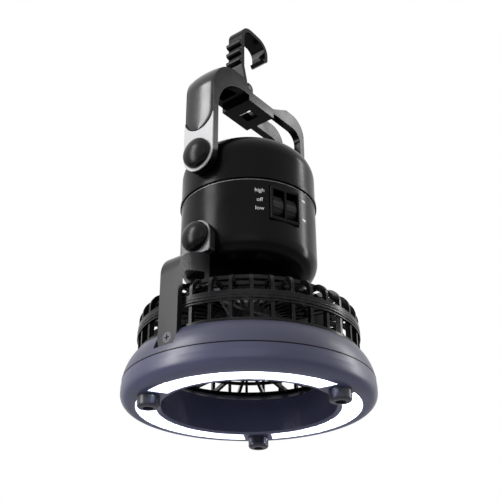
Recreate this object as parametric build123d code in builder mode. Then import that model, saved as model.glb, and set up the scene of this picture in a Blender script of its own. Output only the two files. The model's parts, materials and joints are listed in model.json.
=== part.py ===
from build123d import *
import os
from math import acos, atan2, cos, degrees, radians, sin

# Portable camping fan with a lamp ring, a caged fan, a tilting battery canister,
# a swinging handle and a folding hook.
# Origin: centre of the lamp ring, on the plane of its feet. +Z is up, X runs along the hinge axes.

os.makedirs("parts", exist_ok=True)

# ---------------------------------------------------------------- shared clearances
SLIDE_GAP = 0.05          # radial gap of a turning fit
FIT_GAP = 0.3             # gap round a piece that sits in a pocket
MOVE_GAP = 0.5            # gap between pieces that pass each other

# ---------------------------------------------------------------- lamp ring
RING_RADIUS = 72.5        # widest place of the lower shell
RING_SECTION = 22.8       # width of the ring, from its outside to its air hole
HOLE_RADIUS = RING_RADIUS - RING_SECTION
CHANNEL_INNER = HOLE_RADIUS + 2.6     # lamp channel, open downwards
CHANNEL_OUTER = CHANNEL_INNER + 11.5
FOOT_HEIGHT = 6.6         # feet stand below the ring's flat bottom
FOOT_RADIUS = 6.2
FOOT_CIRCLE = CHANNEL_INNER + 7.0     # feet sit on this radius
FOOT_COUNT = 3
FOOT_ANGLE = 33.0         # direction of the first foot, from +X
LAND_WIDTH = 17.0         # lands that cross the lamp channel and carry the feet
LAND_THICKNESS = 3.0
RING_CORNER = 6.4         # rounding of the lower shell
SEAM_RADIUS = RING_RADIUS - 0.5       # both shells meet here
SHELL_TOP = 33.9          # upper shell's land, which carries the cage
SEAM_Z = SHELL_TOP - 13.9
RING_WALL = 2.2
HOLE_WALL_TOP = SHELL_TOP - 7.2
CHANNEL_DEPTH = 7.4
LED_COUNT = 18
LED_CIRCLE = CHANNEL_INNER + 5.7
LED_RADIUS = 2.5
LED_RIM = 0.3             # flange of an LED, beyond its dome
BOARD_THICKNESS = 1.6
LENS_THICKNESS = 1.4
LENS_RECESS = 0.2
SHELL_SCREW_RADIUS = 1.4

# ---------------------------------------------------------------- fan cage and fan
CAGE_RADIUS = RING_RADIUS - 8.3
CAGE_TOP = SHELL_TOP + 30.1
CAGE_BAR_WIDTH = 1.7      # around the cage
CAGE_BAR_DEPTH = 3.0      # across the bar
CAGE_BARS = 36
BAND_Z = SHELL_TOP + 13.6
BAND_HEIGHT = 4.2
BAND_PROUD = 0.4
CROWN_RADIUS = 8.5        # rounding of each bar into the top grille
PLATE_RADIUS = 20.0       # centre plate, which carries the motor
PLATE_THICKNESS = 3.0
GRILLE_RINGS = (0.392, 0.784)         # top rings, as shares of the way from centre plate to crown
GUARD_RADIUS = CAGE_RADIUS - CAGE_BAR_DEPTH - FIT_GAP
GUARD_SPOKES = 24
GUARD_HUB_RADIUS = 19.0
GUARD_THICKNESS = 1.6
MOTOR_RADIUS = 13.5
MOTOR_LENGTH = 16.0
SHAFT_RADIUS = 1.0
ROTOR_Z = CAGE_TOP - 25.0 # lower face of the fan's hub
ROTOR_HEIGHT = 14.0
HUB_RADIUS = 17.0
HUB_WALL = 1.5
FAN_RADIUS = CAGE_RADIUS - 14.2
BLADE_COUNT = 5
BLADE_THICKNESS = 1.4
BLADE_CHORD_ROOT = 19.0
BLADE_CHORD_TIP = 30.0
BLADE_PITCH_ROOT = 42.0
BLADE_PITCH_TIP = 26.0

# ---------------------------------------------------------------- battery cells, which size the canister
CELL_RADIUS = 17.1
CELL_LENGTH = 61.5
CELL_X = CELL_RADIUS + 0.1            # middle of each cell
CELL_REACH = CELL_X + CELL_RADIUS     # outermost place of the cells
CAN_WALL = 2.0
CAN_RADIUS = CELL_REACH + 5.6 + CAN_WALL

# ---------------------------------------------------------------- yoke and tilt hinge
YOKE_WIDTH = 13.5         # along Y
YOKE_THICKNESS = 3.5
YOKE_SPACE = 0.8          # between the arms and the cage's bars
YOKE_OUTER = CAGE_RADIUS + YOKE_SPACE + YOKE_THICKNESS
YOKE_FOOT_Z = SHELL_TOP - 9.9         # arms end here, inside pockets of the ring
YOKE_SHOULDER = 14.0      # outer bend radius
TILT_Z = CAGE_TOP + 32.7  # tilt hinge axis
YOKE_CORNER_Z = TILT_Z - 20.2         # outer corner of an arm, before its rounding
YOKE_WEB_Z = CAGE_TOP + 9.0           # underside of a shoulder, at its ear
YOKE_WEB_DROP = 5.0       # the underside falls by this towards the arm
EAR_INNER = CAN_RADIUS + 1.7
EAR_THICKNESS = 4.0
EAR_RADIUS = 10.4
EAR_DROP = 11.0           # the wide part of an ear ends this far under the axis
BOLT_RADIUS = 3.0
BOLT_INNER = CELL_REACH + 2.2         # a bolt ends just short of the cells
WASHER_THICKNESS = 0.6
WASHER_RADIUS = 8.0
TRIM_THICKNESS = 0.8
KNOB_RADIUS = 9.2
KNOB_DEPTH = 6.0
KNOB_RIM = 1.2            # straight rim under a knob's dome
KNOB_ROUND = 3.0          # rounding between its rim and crown
BOLT_HEAD_RADIUS = 5.5
BOLT_HEAD_HEIGHT = 2.0
BOLT_SOCKET_RADIUS = 2.2
BOLT_SOCKET_DEPTH = 1.2
YOKE_SCREW_Z = YOKE_FOOT_Z + 5.2

# ---------------------------------------------------------------- battery canister
CELL_Z = TILT_Z + 1.8     # underside of the cells
TRAY_Z = CELL_Z - 5.9
TRAY_THICKNESS = 1.6
CAN_BOTTOM = TILT_Z - 15.7
CAN_SHOULDER = 12.5       # rounding of its bottom edge
BARREL_RADIUS = 10.0
CAP_RADIUS = CAN_RADIUS + 0.9
CAP_SHOULDER_Z = CELL_Z + CELL_LENGTH - 13.0
CAN_SEAM_Z = CAP_SHOULDER_Z - 13.0
CAP_SIDE_TOP = CAP_SHOULDER_Z + 7.0   # the cap's straight side ends here
CAP_RISE = 24.0           # height of the cap's dome
CAP_TOP = CAP_SIDE_TOP + CAP_RISE
CAP_SHOULDER = 17.0       # rounding between the cap's side and crown
CAP_SKIRT = 3.8           # tongue of the cap inside the canister

# ---------------------------------------------------------------- switches
SWITCH_ANGLE = -110.5     # direction of the switch panel, from +X
BEZEL_WIDTH = 20.0
BEZEL_HEIGHT = 22.6
BEZEL_Z = CAN_SEAM_Z - 15.6
BEZEL_PROUD = 0.6
ROCKER_WIDTH = 7.4
ROCKER_SPACING = 9.2
ROCKER_RADIUS = 12.0      # curved face of a rocker
ROCKER_AXLE_RADIUS = 1.2

# ---------------------------------------------------------------- handle and hook
SWING_Z = CAP_SHOULDER_Z + 6.4        # handle hinge axis
HANDLE_INNER = CAN_RADIUS + 1.6
HANDLE_THICKNESS = 4.5
HANDLE_WIDTH = 23.0
HANDLE_UNDER = SWING_Z + 55.6         # underside of the hub
SHOULDER_UNDER = HANDLE_UNDER + 4.0   # underside of the shoulders
HANDLE_TOP = SHOULDER_UNDER + 11.0    # highest place of the shoulders
HANDLE_BEND = 13.0        # outer bend of the right shoulder
LEFT_BEND = 22.0          # outer bend of the left shoulder
LEFT_ARCH = 26.0          # inner bend of the left shoulder
CREST_ROUND = 5.0
ROOF_THICKNESS = 2.4      # skin that closes the left shoulder on top
HUB_TOP = HANDLE_UNDER + 7.5          # dip between the shoulders
HUB_HALF = 13.0
HUB_SLOT = 9.0            # square slot through the hub
HANDLE_BOLT_INNER = CELL_REACH + 1.2
HANDLE_KNOB_RADIUS = 9.8
WINDOW_BOTTOM = SWING_Z + 14.6
PAD_BOTTOM = WINDOW_BOTTOM + 3.0
PAD_PROUD = 1.8
HOOK_WIDTH = 11.5
HOOK_THICKNESS = 3.0
HOOK_TOP = HANDLE_TOP + 53.6
HOOK_STEM_X = -12.5       # middle of the stem
HOOK_TIP_X = 13.5         # middle of the hook's far side
HOOK_PIN_X = -9.5
HOOK_PIN_Z = HUB_TOP + 5.5
HOOK_PIN_RADIUS = 1.5
HOOK_RIBS = (22.5, 30.1, 37.7)        # grip ribs, above the pin


def save(piece, label):
    """Name a finished piece and write its file."""
    piece.part.label = label
    export_step(piece.part, f"parts/{label}.step")


# ================================================================ lamp ring: lower shell
channel_floor = FOOT_HEIGHT + CHANNEL_DEPTH
inner_wall_top = HOLE_RADIUS + 0.6
seam_corner_z = FOOT_HEIGHT + 9.4
land_length = CHANNEL_OUTER - CHANNEL_INNER + 2.0
screw_passage = channel_floor + RING_WALL - FOOT_HEIGHT + 1.0

with BuildPart() as ring_lower_shell:
    with BuildSketch(Plane.XZ) as lower_profile:
        with BuildLine():
            Polyline(
                (SEAM_RADIUS, SEAM_Z),
                (RING_RADIUS, seam_corner_z),
                (RING_RADIUS, FOOT_HEIGHT),
                (CHANNEL_OUTER, FOOT_HEIGHT),
                (CHANNEL_OUTER, channel_floor),
                (CHANNEL_INNER, channel_floor),
                (CHANNEL_INNER, FOOT_HEIGHT),
                (HOLE_RADIUS + 1.0, FOOT_HEIGHT),
                (HOLE_RADIUS, FOOT_HEIGHT + 1.0),
                (inner_wall_top, HOLE_WALL_TOP),
                (CHANNEL_INNER, HOLE_WALL_TOP),
                (CHANNEL_INNER, channel_floor + RING_WALL),
                (CHANNEL_OUTER + RING_WALL, channel_floor + RING_WALL),
                (CHANNEL_OUTER + RING_WALL, FOOT_HEIGHT + RING_WALL),
                (RING_RADIUS - RING_WALL, FOOT_HEIGHT + RING_WALL),
                (RING_RADIUS - RING_WALL, seam_corner_z),
                (SEAM_RADIUS - RING_WALL, SEAM_Z),
                close=True,
            )
        make_face()
        outer_corner = lower_profile.vertices().sort_by_distance((RING_RADIUS, FOOT_HEIGHT))[0]
        fillet(outer_corner, RING_CORNER)
        inner_corner_at = (RING_RADIUS - RING_WALL, FOOT_HEIGHT + RING_WALL)
        inner_corner = lower_profile.vertices().sort_by_distance(inner_corner_at)[0]
        fillet(inner_corner, RING_CORNER - RING_WALL)
    revolve(axis=Axis.Z)
    with BuildSketch(Plane.XY.offset(FOOT_HEIGHT)):
        with PolarLocations((CHANNEL_OUTER + CHANNEL_INNER) / 2, FOOT_COUNT, start_angle=FOOT_ANGLE):
            Rectangle(land_length, LAND_WIDTH)
    extrude(amount=LAND_THICKNESS)
    with Locations(Plane.XY.offset(FOOT_HEIGHT)):
        with PolarLocations(FOOT_CIRCLE, FOOT_COUNT, start_angle=FOOT_ANGLE):
            Cylinder(
                SHELL_SCREW_RADIUS + SLIDE_GAP,
                screw_passage,
                align=(Align.CENTER, Align.CENTER, Align.MIN),
                mode=Mode.SUBTRACT,
            )
save(ring_lower_shell, "ring_lower_shell")

# ================================================================ lamp ring: upper shell
yoke_inner = YOKE_OUTER - YOKE_THICKNESS
land_inner = GUARD_RADIUS - 2.0
shell_top_outer = CAGE_RADIUS + 1.4
boss_depth = 6.5
boss_bottom = YOKE_FOOT_Z - 2.5
screw_boss_radius = SHELL_SCREW_RADIUS + 2.0
screw_top = SHELL_TOP - 4.5
skin_bulge = -1.2
pocket_reach = 20.0       # cuts the yoke's pockets right through the skin
funnel_foot_z = HOLE_WALL_TOP + 1.5

with BuildPart() as ring_upper_shell:
    with BuildSketch(Plane.XY.offset(boss_bottom)):
        for side in (-1, 1):
            with Locations((side * (yoke_inner - boss_depth / 2 + 2.0), 0)):
                Rectangle(boss_depth + 4.0, YOKE_WIDTH + 6.0)
        with PolarLocations(FOOT_CIRCLE, FOOT_COUNT, start_angle=FOOT_ANGLE):
            Circle(screw_boss_radius)
    extrude(amount=SHELL_TOP - boss_bottom)
    with BuildSketch(Plane.XY.offset(channel_floor + RING_WALL)):
        with PolarLocations(FOOT_CIRCLE, FOOT_COUNT, start_angle=FOOT_ANGLE):
            Circle(screw_boss_radius)
    extrude(amount=boss_bottom - channel_floor - RING_WALL)
    with BuildSketch(Plane.XZ):
        with BuildLine():
            funnel_edge = Line((land_inner, SHELL_TOP), (inner_wall_top, funnel_foot_z))
            funnel_foot = Line(funnel_edge @ 1, (inner_wall_top, channel_floor + RING_WALL))
            bottom_edge = Line(funnel_foot @ 1, (SEAM_RADIUS, channel_floor + RING_WALL))
            seam_edge = Line(bottom_edge @ 1, (SEAM_RADIUS, SEAM_Z))
            skin = SagittaArc(seam_edge @ 1, (shell_top_outer, SHELL_TOP), skin_bulge)
            Line(skin @ 1, (land_inner, SHELL_TOP))
        make_face()
    revolve(axis=Axis.Z, mode=Mode.INTERSECT)
    with BuildSketch(Plane.XZ):
        with BuildLine():
            skin = SagittaArc((SEAM_RADIUS, SEAM_Z), (shell_top_outer, SHELL_TOP), skin_bulge)
            land = Line(skin @ 1, (land_inner, SHELL_TOP))
            funnel = Line(land @ 1, (inner_wall_top, funnel_foot_z))
            Line(funnel @ 1, (inner_wall_top, HOLE_WALL_TOP))
            Line((inner_wall_top, HOLE_WALL_TOP), (CHANNEL_INNER + 1.0, HOLE_WALL_TOP))
            lip = Line((CHANNEL_INNER + 1.0, HOLE_WALL_TOP), (land_inner + 0.8, SHELL_TOP - RING_WALL))
            roof = Line(lip @ 1, (shell_top_outer - RING_WALL, SHELL_TOP - RING_WALL))
            inner_skin = SagittaArc((SEAM_RADIUS - RING_WALL, SEAM_Z), roof @ 1, skin_bulge)
            Line(inner_skin @ 0, (SEAM_RADIUS, SEAM_Z))
        make_face()
    revolve(axis=Axis.Z)
    for side in (-1, 1):
        with BuildSketch(Plane.XY.offset(YOKE_FOOT_Z - FIT_GAP)):
            with Locations((side * (yoke_inner + pocket_reach / 2), 0)):
                Rectangle(pocket_reach, YOKE_WIDTH + 2 * FIT_GAP)
        extrude(amount=pocket_reach, mode=Mode.SUBTRACT)
    with BuildSketch(Plane.YZ.offset(-RING_RADIUS)):
        with Locations((0, YOKE_SCREW_Z)):
            Circle(SHELL_SCREW_RADIUS + SLIDE_GAP)
    extrude(amount=2 * RING_RADIUS, mode=Mode.SUBTRACT)
    with BuildSketch(Plane.XY.offset(channel_floor)):
        with PolarLocations(FOOT_CIRCLE, FOOT_COUNT, start_angle=FOOT_ANGLE):
            Circle(SHELL_SCREW_RADIUS + SLIDE_GAP)
    extrude(amount=screw_top - channel_floor + 0.5, mode=Mode.SUBTRACT)
save(ring_upper_shell, "ring_upper_shell")

# ================================================================ lamp: board, LEDs, reflector, lenses
board_bottom = channel_floor - BOARD_THICKNESS
land_top = FOOT_HEIGHT + LAND_THICKNESS
reflector_bottom = land_top + 0.1
lens_bottom = FOOT_HEIGHT + LENS_RECESS
land_angle = 360.0 / FOOT_COUNT
land_half_angle = LAND_WIDTH / 2 / radians(LED_CIRCLE)


def led_angles():
    """Directions of the LEDs: equal groups between the lands, the extra ones in every other group."""
    angles = []
    for sector in range(FOOT_COUNT):
        middle = FOOT_ANGLE + (sector + 0.5) * land_angle
        group = (LED_COUNT + (FOOT_COUNT - 1) * ((sector + 1) % 2)) // FOOT_COUNT
        pitch = (land_angle - 2 * land_half_angle) / (group - 0.2)
        for place in range(group):
            angles.append(middle + (place - (group - 1) / 2) * pitch)
    return angles


def led_places():
    return [(LED_CIRCLE * cos(radians(a)), LED_CIRCLE * sin(radians(a))) for a in led_angles()]


with BuildPart() as led_board:
    with BuildSketch(Plane.XY.offset(board_bottom)):
        Circle(CHANNEL_OUTER - FIT_GAP)
        Circle(CHANNEL_INNER + FIT_GAP, mode=Mode.SUBTRACT)
        with PolarLocations(FOOT_CIRCLE, FOOT_COUNT, start_angle=FOOT_ANGLE):
            Circle(SHELL_SCREW_RADIUS + FIT_GAP, mode=Mode.SUBTRACT)
    extrude(amount=BOARD_THICKNESS)
save(led_board, "led_board")

led_flange = 0.8
led_body = 1.6
with BuildPart() as leds:
    with BuildSketch(Plane.XY.offset(board_bottom)):
        with Locations(*led_places()):
            Circle(LED_RADIUS + LED_RIM)
    extrude(amount=-led_flange)
    with BuildSketch(Plane.XY.offset(board_bottom - led_flange)):
        with Locations(*led_places()):
            Circle(LED_RADIUS)
    extrude(amount=-led_body)
    dome_rims = leds.faces().group_by(Axis.Z)[0].edges()
    fillet(dome_rims, LED_RADIUS * 0.6)
save(leds, "leds")

with BuildPart() as reflector_ring:
    with BuildSketch(Plane.XY.offset(reflector_bottom)):
        Circle(CHANNEL_OUTER - FIT_GAP)
        Circle(CHANNEL_INNER + FIT_GAP, mode=Mode.SUBTRACT)
        with PolarLocations(FOOT_CIRCLE, FOOT_COUNT, start_angle=FOOT_ANGLE):
            Circle(SHELL_SCREW_RADIUS + FIT_GAP, mode=Mode.SUBTRACT)
        with Locations(*led_places()):
            Circle(LED_RADIUS + LED_RIM + FIT_GAP, mode=Mode.SUBTRACT)
    extrude(amount=board_bottom - reflector_bottom - 0.05)
    cup_rims = reflector_ring.edges().filter_by(GeomType.CIRCLE)
    cup_rims = cup_rims.filter_by(lambda e: abs(e.radius - LED_RADIUS - LED_RIM - FIT_GAP) < 0.01)
    chamfer(cup_rims.group_by(Axis.Z)[0], 1.2)
save(reflector_ring, "reflector_ring")

with BuildPart() as lenses:
    with BuildSketch(Plane.XY.offset(lens_bottom)):
        Circle(CHANNEL_OUTER - 0.1)
        Circle(CHANNEL_INNER + 0.1, mode=Mode.SUBTRACT)
        with PolarLocations((CHANNEL_OUTER + CHANNEL_INNER) / 2, FOOT_COUNT, start_angle=FOOT_ANGLE):
            Rectangle(2 * (CHANNEL_OUTER - CHANNEL_INNER), LAND_WIDTH + 0.2, mode=Mode.SUBTRACT)
    extrude(amount=LENS_THICKNESS)
save(lenses, "lenses")

# ================================================================ feet and shell screws
screw_head_radius = SHELL_SCREW_RADIUS + 1.3
screw_head_z = 2.2
screw_head_height = 1.8
cross_length = 2.6        # drive of a screw head
cross_width = 0.6
cross_depth = 0.8

with BuildPart() as feet:
    with BuildSketch():
        with PolarLocations(FOOT_CIRCLE, FOOT_COUNT, start_angle=FOOT_ANGLE):
            Circle(FOOT_RADIUS)
    extrude(amount=FOOT_HEIGHT)
    fillet(feet.faces().group_by(Axis.Z)[0].edges(), 1.6)
    with BuildSketch():
        with PolarLocations(FOOT_CIRCLE, FOOT_COUNT, start_angle=FOOT_ANGLE):
            Circle(screw_head_radius + FIT_GAP)
    extrude(amount=screw_head_z + screw_head_height, mode=Mode.SUBTRACT)
    with BuildSketch():
        with PolarLocations(FOOT_CIRCLE, FOOT_COUNT, start_angle=FOOT_ANGLE):
            Circle(SHELL_SCREW_RADIUS + SLIDE_GAP)
    extrude(amount=FOOT_HEIGHT, mode=Mode.SUBTRACT)
save(feet, "feet")

with BuildPart() as shell_screws:
    with BuildSketch(Plane.XY.offset(screw_head_z)):
        with PolarLocations(FOOT_CIRCLE, FOOT_COUNT, start_angle=FOOT_ANGLE):
            Circle(screw_head_radius)
    extrude(amount=screw_head_height)
    with BuildSketch(Plane.XY.offset(screw_head_z)):
        with PolarLocations(FOOT_CIRCLE, FOOT_COUNT, start_angle=FOOT_ANGLE):
            Circle(SHELL_SCREW_RADIUS)
    extrude(amount=screw_top - screw_head_z)
    with BuildSketch(Plane.XY.offset(screw_head_z)):
        with PolarLocations(FOOT_CIRCLE, FOOT_COUNT, start_angle=FOOT_ANGLE):
            Rectangle(cross_length, cross_width)
            Rectangle(cross_width, cross_length)
    extrude(amount=cross_depth, mode=Mode.SUBTRACT)
save(shell_screws, "shell_screws")

# ================================================================ fan cage
bar_inner = CAGE_RADIUS - CAGE_BAR_DEPTH
plate_bottom = CAGE_TOP - PLATE_THICKNESS
motor_screw_spacing = 2 * MOTOR_RADIUS - 10.0
motor_screw_head = 1.4
motor_screw_depth = 4.0
grille_ring_width = 2.0
bar_pitch = 360.0 / CAGE_BARS

with BuildPart() as fan_cage:
    with BuildSketch(Plane.XZ) as bar_profile:
        with BuildLine():
            Polyline(
                (bar_inner, SHELL_TOP),
                (CAGE_RADIUS, SHELL_TOP),
                (CAGE_RADIUS, CAGE_TOP),
                (PLATE_RADIUS - 2.0, CAGE_TOP),
                (PLATE_RADIUS - 2.0, plate_bottom),
                (bar_inner, plate_bottom),
                close=True,
            )
        make_face()
        crown = bar_profile.vertices().sort_by_distance((CAGE_RADIUS, CAGE_TOP))[0]
        fillet(crown, CROWN_RADIUS)
        inner_crown = bar_profile.vertices().sort_by_distance((bar_inner, plate_bottom))[0]
        fillet(inner_crown, CROWN_RADIUS - CAGE_BAR_DEPTH)
    extrude(amount=CAGE_BAR_WIDTH / 2, both=True)
    bar = fan_cage.part
    with PolarLocations(0, CAGE_BARS - 1, start_angle=bar_pitch, angular_range=360.0 - bar_pitch):
        add(bar)
    with BuildSketch(Plane.XZ):
        with Locations(((bar_inner + CAGE_RADIUS) / 2, SHELL_TOP + 1.1)):
            Rectangle(CAGE_BAR_DEPTH, 2.2)
        with Locations(((bar_inner + CAGE_RADIUS + BAND_PROUD) / 2, BAND_Z + BAND_HEIGHT / 2)):
            Rectangle(CAGE_BAR_DEPTH + BAND_PROUD, BAND_HEIGHT)
        for share in (*GRILLE_RINGS, 1.0):
            ring_radius = PLATE_RADIUS + share * (CAGE_RADIUS - CROWN_RADIUS - PLATE_RADIUS)
            with Locations((ring_radius, CAGE_TOP - 1.2)):
                Rectangle(grille_ring_width, grille_ring_width)
        with Locations((PLATE_RADIUS / 2, CAGE_TOP - PLATE_THICKNESS / 2)):
            Rectangle(PLATE_RADIUS, PLATE_THICKNESS)
    revolve(axis=Axis.Z)
    with Locations(Plane.XY.offset(CAGE_TOP)):
        with GridLocations(motor_screw_spacing, 1.0, 2, 1):
            CounterBoreHole(
                SHELL_SCREW_RADIUS + SLIDE_GAP,
                screw_head_radius + SLIDE_GAP,
                motor_screw_head,
                depth=PLATE_THICKNESS + 1.0,
            )
save(fan_cage, "fan_cage")

# ================================================================ lower guard
guard_rim_inner = GUARD_RADIUS - 3.4
guard_mid_radius = (GUARD_HUB_RADIUS + guard_rim_inner) / 2
spoke_width = 1.8
spoke_height = 2.4
tooth_depth = 2.0

with BuildPart() as lower_guard:
    with BuildSketch(Plane.XY.offset(SHELL_TOP)):
        Circle(GUARD_RADIUS)
        Circle(guard_rim_inner, mode=Mode.SUBTRACT)
        Circle(guard_mid_radius + 1.0)
        Circle(guard_mid_radius - 1.0, mode=Mode.SUBTRACT)
        Circle(GUARD_HUB_RADIUS)
        with PolarLocations(GUARD_HUB_RADIUS, GUARD_SPOKES, start_angle=180.0 / GUARD_SPOKES):
            Rectangle(2 * tooth_depth, 2.0)
    extrude(amount=GUARD_THICKNESS)
    with BuildSketch(Plane.XY.offset(SHELL_TOP)):
        with PolarLocations((GUARD_HUB_RADIUS + GUARD_RADIUS) / 2 - 1.0, GUARD_SPOKES):
            Rectangle(GUARD_RADIUS - GUARD_HUB_RADIUS, spoke_width)
    extrude(amount=spoke_height)
    with BuildSketch(Plane.XY.offset(SHELL_TOP)):
        Circle(GUARD_HUB_RADIUS - 3.0)
        Circle(GUARD_HUB_RADIUS - 4.6, mode=Mode.SUBTRACT)
    extrude(amount=0.5, mode=Mode.SUBTRACT)
save(lower_guard, "lower_guard")

# ================================================================ motor, shaft and fan
motor_bottom = plate_bottom - MOTOR_LENGTH
bearing_depth = 4.0
motor_boss_radius = 3.4
motor_boss_height = 1.0
shaft_bottom = ROTOR_Z + HUB_WALL + 0.1
shaft_top = motor_bottom + bearing_depth - 0.5

with BuildPart() as motor:
    with BuildSketch(Plane.XY.offset(motor_bottom)):
        Circle(MOTOR_RADIUS)
    extrude(amount=MOTOR_LENGTH)
    fillet(motor.faces().group_by(Axis.Z)[0].edges(), 1.5)
    with BuildSketch(Plane.XY.offset(motor_bottom)):
        Circle(motor_boss_radius)
    extrude(amount=-motor_boss_height)
    with BuildSketch(Plane.XY.offset(motor_bottom - motor_boss_height)):
        Circle(SHAFT_RADIUS + SLIDE_GAP)
    extrude(amount=bearing_depth + motor_boss_height, mode=Mode.SUBTRACT)
    with BuildSketch(Plane.XY.offset(plate_bottom)):
        with GridLocations(motor_screw_spacing, 1.0, 2, 1):
            Circle(SHELL_SCREW_RADIUS + SLIDE_GAP)
    extrude(amount=-motor_screw_depth - 0.3, mode=Mode.SUBTRACT)
save(motor, "motor")

with BuildPart() as motor_screws:
    with BuildSketch(Plane.XY.offset(CAGE_TOP)):
        with GridLocations(motor_screw_spacing, 1.0, 2, 1):
            Circle(SHELL_SCREW_RADIUS)
    extrude(amount=-PLATE_THICKNESS - motor_screw_depth)
    with BuildSketch(Plane.XY.offset(CAGE_TOP)):
        with GridLocations(motor_screw_spacing, 1.0, 2, 1):
            Circle(screw_head_radius)
    extrude(amount=-motor_screw_head)
save(motor_screws, "motor_screws")

with BuildPart() as motor_shaft:
    with BuildSketch(Plane.XY.offset(shaft_bottom)):
        Circle(SHAFT_RADIUS)
    extrude(amount=shaft_top - shaft_bottom)
save(motor_shaft, "motor_shaft")

boss_radius = 3.6
blade_root = HUB_RADIUS - 0.8

with BuildPart() as fan_rotor:
    with BuildSketch(Plane(origin=(blade_root, 0, ROTOR_Z + ROTOR_HEIGHT / 2), z_dir=(1, 0, 0))):
        Rectangle(BLADE_CHORD_ROOT, BLADE_THICKNESS, rotation=90.0 - BLADE_PITCH_ROOT)
    with BuildSketch(Plane(origin=(FAN_RADIUS, 0, ROTOR_Z + ROTOR_HEIGHT / 2), z_dir=(1, 0, 0))):
        Rectangle(BLADE_CHORD_TIP, BLADE_THICKNESS, rotation=90.0 - BLADE_PITCH_TIP)
    loft()
    blade = fan_rotor.part
    blade_pitch = 360.0 / BLADE_COUNT
    with PolarLocations(0, BLADE_COUNT - 1, start_angle=blade_pitch, angular_range=360.0 - blade_pitch):
        add(blade)
    with BuildSketch(Plane.XY.offset(ROTOR_Z)):
        Circle(HUB_RADIUS)
    extrude(amount=ROTOR_HEIGHT)
    fillet(fan_rotor.faces().filter_by(GeomType.PLANE).group_by(Axis.Z)[0].edges(), 1.2)
    with BuildSketch(Plane.XY.offset(ROTOR_Z + HUB_WALL)):
        Circle(HUB_RADIUS - HUB_WALL)
        Circle(boss_radius, mode=Mode.SUBTRACT)
    extrude(amount=ROTOR_HEIGHT, mode=Mode.SUBTRACT)
    with BuildSketch(Plane.XY.offset(motor_bottom - motor_boss_height - MOVE_GAP)):
        Circle(HUB_RADIUS - HUB_WALL)
    extrude(amount=ROTOR_HEIGHT, mode=Mode.SUBTRACT)
    with BuildSketch(Plane.XY.offset(shaft_bottom)):
        Circle(SHAFT_RADIUS + 0.01)
    extrude(amount=ROTOR_HEIGHT, mode=Mode.SUBTRACT)
save(fan_rotor, "fan_rotor")

# ================================================================ yoke
ear_outer = EAR_INNER + EAR_THICKNESS
ear_root = TILT_Z - EAR_DROP
shoulder_top = ear_root - FIT_GAP      # the shoulders stay under the ears' trims
yoke_screw_head_radius = 3.0
yoke_screw_head = 1.4
yoke_cross_length = 3.0
yoke_cross_width = 0.7
yoke_screw_length = YOKE_THICKNESS + boss_depth - 1.0
sides = (-1, 1)


def dome(side, base_z, rise, shoulder, up=1, reach=0.0):
    """Outline of a dome: a round shoulder from (side, base_z), then a crown that ends at radius reach."""
    drop = ((side - shoulder) ** 2 - (rise - shoulder) ** 2) / (2 * (rise - shoulder))
    crown = rise + drop
    turn = degrees(atan2(drop, side - shoulder))
    stop = degrees(acos(reach / crown))
    CenterArc((side - shoulder, base_z), shoulder, 0, up * turn)
    return CenterArc((0, base_z - up * drop), crown, up * turn, up * (stop - turn))


def facing_out(x, z):
    """Plane at distance x from the middle, looking outwards along X, centred at height z."""
    side = 1 if x > 0 else -1
    return Plane(origin=(x, 0, z), x_dir=(0, side, 0), z_dir=(side, 0, 0))


with BuildPart() as yoke:
    with BuildSketch(Plane.XZ) as yoke_profile:
        for side in sides:
            with BuildLine():
                Polyline(
                    (side * YOKE_OUTER, YOKE_FOOT_Z),
                    (side * YOKE_OUTER, YOKE_CORNER_Z),
                    (side * ear_outer, shoulder_top),
                    (side * EAR_INNER, shoulder_top),
                    (side * EAR_INNER, YOKE_WEB_Z),
                    (side * ear_outer, YOKE_WEB_Z),
                    (side * yoke_inner, YOKE_WEB_Z - YOKE_WEB_DROP),
                    (side * yoke_inner, YOKE_FOOT_Z),
                    close=True,
                )
            make_face()
            outer_bend = yoke_profile.vertices().sort_by_distance((side * YOKE_OUTER, YOKE_CORNER_Z))[0]
            fillet(outer_bend, YOKE_SHOULDER)
            web_corner = (side * yoke_inner, YOKE_WEB_Z - YOKE_WEB_DROP)
            inner_bend = yoke_profile.vertices().sort_by_distance(web_corner)[0]
            fillet(inner_bend, YOKE_SHOULDER / 2)
        with Locations((0, CAGE_TOP + YOKE_THICKNESS / 2)):
            Rectangle(2 * ear_outer, YOKE_THICKNESS)
    extrude(amount=YOKE_WIDTH / 2, both=True)
    for side in sides:
        with BuildSketch(facing_out(side * EAR_INNER, TILT_Z)):
            Circle(EAR_RADIUS)
            with Locations((0, -EAR_DROP / 2)):
                Rectangle(2 * EAR_RADIUS, EAR_DROP)
            with Locations((0, (CAGE_TOP - TILT_Z + 1.0) / 2)):
                Rectangle(YOKE_WIDTH, TILT_Z - CAGE_TOP - 1.0)
        extrude(amount=EAR_THICKNESS)
    ear_corners = yoke.edges().filter_by(Axis.X).filter_by(lambda e: abs(e.center().Z - ear_root) < 0.1)
    outside = ear_corners.filter_by(lambda e: abs(e.center().Y) > EAR_RADIUS - 0.1)
    fillet(outside, 2.0)
    with BuildSketch(Plane.YZ.offset(-YOKE_OUTER)):
        with Locations((0, TILT_Z)):
            Circle(BOLT_RADIUS + SLIDE_GAP)
        with Locations((0, YOKE_SCREW_Z)):
            Circle(SHELL_SCREW_RADIUS + SLIDE_GAP)
    extrude(amount=2 * YOKE_OUTER, mode=Mode.SUBTRACT)
    for side in sides:
        with BuildSketch(facing_out(side * YOKE_OUTER, YOKE_SCREW_Z)):
            Circle(yoke_screw_head_radius + SLIDE_GAP)
        extrude(amount=-yoke_screw_head, mode=Mode.SUBTRACT)
save(yoke, "yoke")

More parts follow.
